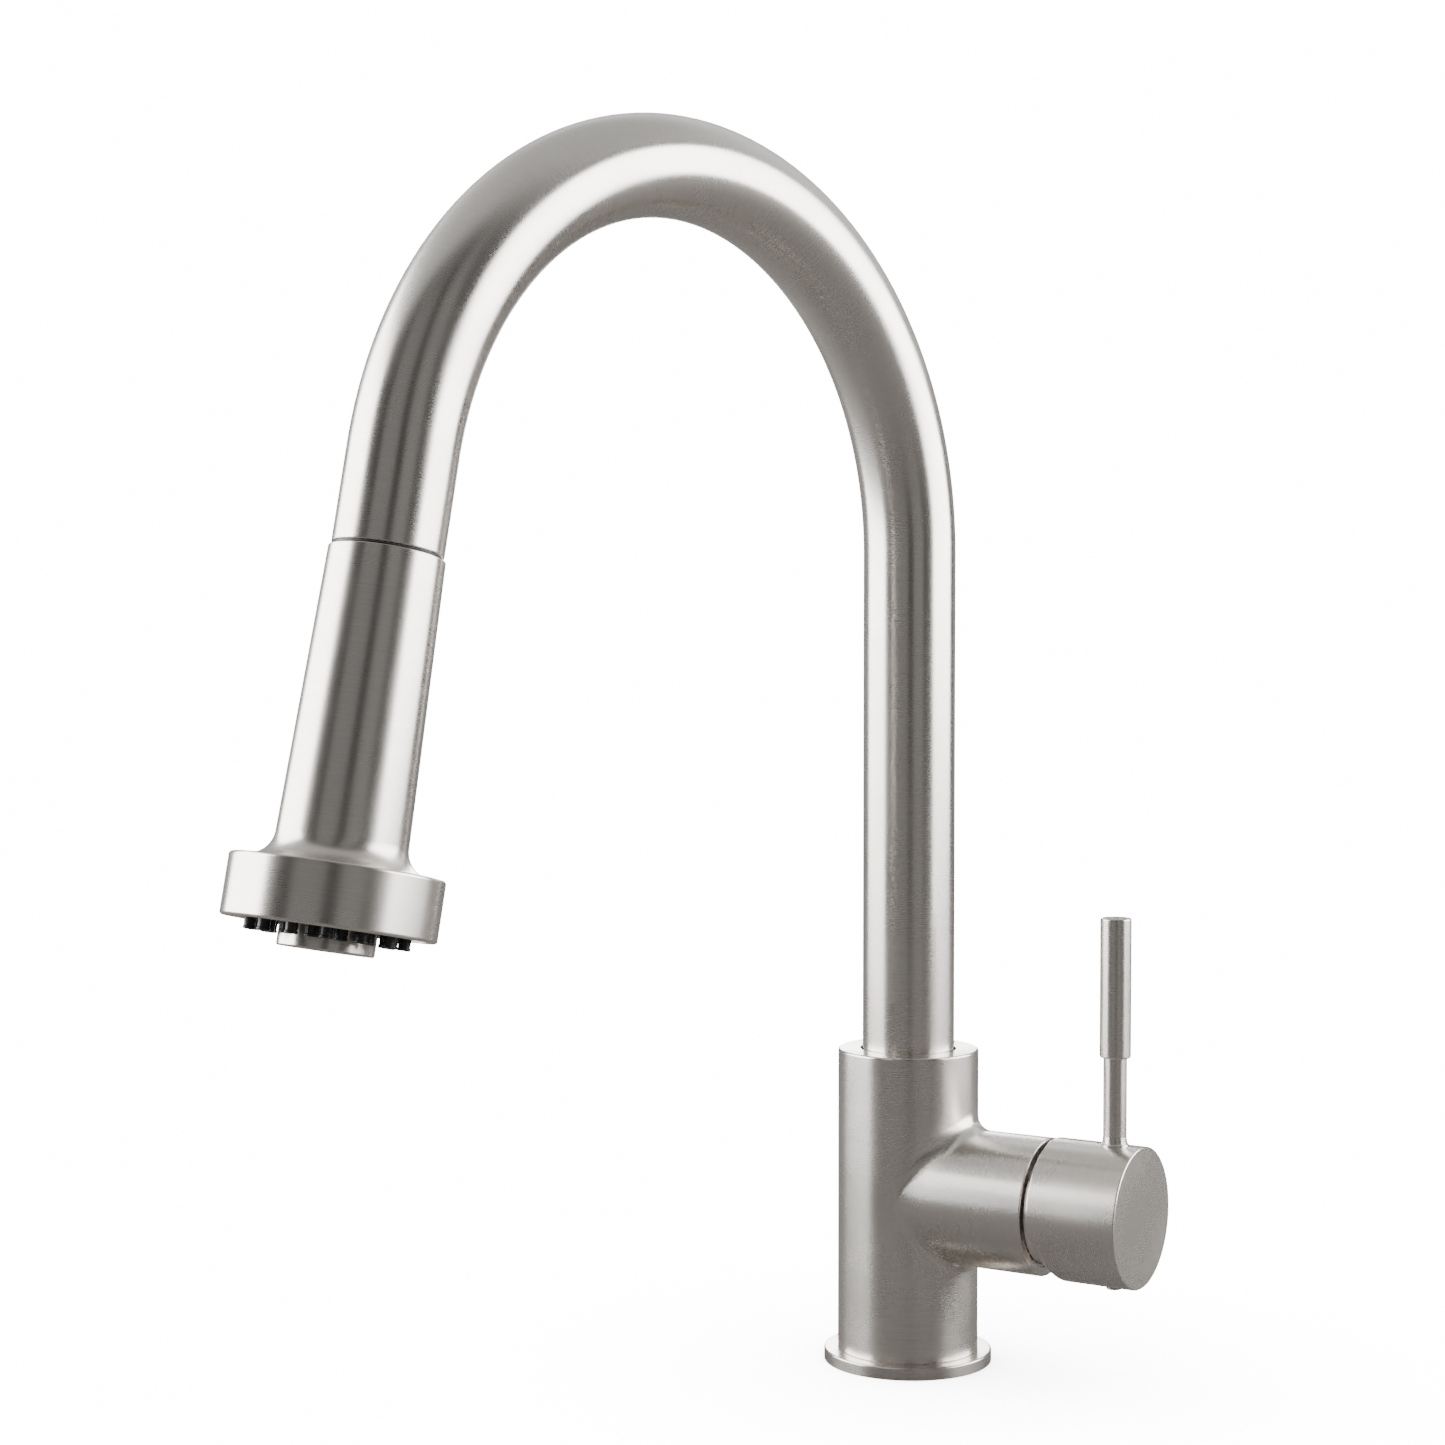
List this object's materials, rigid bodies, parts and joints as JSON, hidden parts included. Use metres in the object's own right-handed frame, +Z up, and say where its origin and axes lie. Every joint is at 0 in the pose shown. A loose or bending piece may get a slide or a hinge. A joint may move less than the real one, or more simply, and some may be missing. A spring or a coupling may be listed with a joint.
{
  "type": "pull-down kitchen faucet",
  "caption": "Gooseneck kitchen faucet with a pull-down spray head, a side valve housing and a pin lever, in brushed nickel.",
  "frame": {"origin": "centre of the shank socket, in the deck plane that the base flange rests on", "axes": "+Z up the spout, +X along the valve housing towards the handle, the spout reaches towards -Y and stands turned 10 degrees towards -X at rest"},
  "size_m": [0.1535, 0.2974, 0.391],
  "materials": {
    "brushed_nickel": "warm grey brushed nickel plate, fine lines around each turned part",
    "face_metal": "satin nickel face plate",
    "steel_screw": "plain stainless steel",
    "turned_brass": "turned brass, unplated",
    "black_rubber": "soft black rubber",
    "cartridge_plastic": "off-white moulded plastic",
    "dark_plastic": "dark moulded plastic",
    "disc_ceramic": "ground alumina",
    "braided_hose": "grey nylon braid over a rubber hose",
    "aerator_mesh": "grey plastic flow straightener"
  },
  "bodies": {
    "faucet_body": {"base_flange": "brushed_nickel", "base_gasket": "black_rubber", "valve_body": "brushed_nickel", "spout_retaining_screw": "steel_screw", "cartridge_seals": "black_rubber", "cartridge_base": "cartridge_plastic", "fixed_ceramic_disc": "disc_ceramic", "cartridge_shell": "cartridge_plastic", "retaining_nut": "steel_screw", "bonnet_dome": "brushed_nickel"},
    "rotor": {"rotor_guide": "cartridge_plastic", "pivot_pin": "steel_screw"},
    "valve_disc": {"moving_ceramic_disc": "disc_ceramic", "disc_carrier": "dark_plastic"},
    "handle": {"cartridge_stem": "steel_screw", "handle_cap": "brushed_nickel", "handle_set_screw": "steel_screw", "lever_stem": "brushed_nickel", "lever_grip": "brushed_nickel"},
    "spout": {"spout_tube": "brushed_nickel", "spout_spigot": "turned_brass", "spout_o_rings": "black_rubber", "spout_bearing_ring": "cartridge_plastic", "docking_collar": "dark_plastic", "spray_hose": "braided_hose", "hose_tail_ferrule": "steel_screw"},
    "hose_end": {"hose_head_ferrule": "steel_screw", "swivel_connector": "turned_brass", "swivel_o_ring": "black_rubber", "swivel_clip": "steel_screw"},
    "spray_head": {"head_shell": "brushed_nickel", "head_core": "cartridge_plastic", "check_valve": "dark_plastic", "nozzle_mat": "black_rubber", "face_plate": "face_metal", "diverter_spring": "steel_screw"},
    "aerator": {"diverter_spool": "dark_plastic", "aerator_collar": "brushed_nickel", "aerator_insert": "aerator_mesh"}
  },
  "joints": [
    {"name": "handle_turn", "type": "hinge", "parent": "faucet_body", "child": "rotor", "pos_m": [0.042, 0, 0.056], "axis": [1, 0, 0], "range_deg": [-45, 45]},
    {"name": "handle_tilt", "type": "hinge", "parent": "rotor", "child": "handle", "pos_m": [0.042, 0, 0.056], "axis": [0, 1, 0], "range_deg": [0, 20]},
    {"name": "disc_slide", "type": "slide", "parent": "rotor", "child": "valve_disc", "axis": [0, 0, 1], "range_m": [0, 0.0026]},
    {"name": "spout_swivel", "type": "hinge", "parent": "faucet_body", "child": "spout", "pos_m": [0, 0, 0.0855], "axis": [0, 0, 1], "continuous": true},
    {"name": "head_pull", "type": "slide", "parent": "spout", "child": "hose_end", "axis": [-0.0361, -0.2048, -0.9781], "range_m": [0, 0.14], "stiffness_N_per_m": 6, "springref_m": -0.9, "deforming": ["spray_hose"]},
    {"name": "head_turn", "type": "hinge", "parent": "hose_end", "child": "spray_head", "pos_m": [-0.0391, -0.22177, 0.26167], "axis": [-0.0361, -0.2048, -0.9781], "continuous": true},
    {"name": "mode_push", "type": "slide", "parent": "spray_head", "child": "aerator", "axis": [0.0361, 0.2048, 0.9781], "range_m": [0, 0.003], "stiffness_N_per_m": 600, "springref_m": -0.004, "deforming": ["diverter_spring"]}
  ],
  "couplings": [
    {"joint": "disc_slide", "follows": "handle_tilt", "m_per_rad": 0.0068}
  ]
}
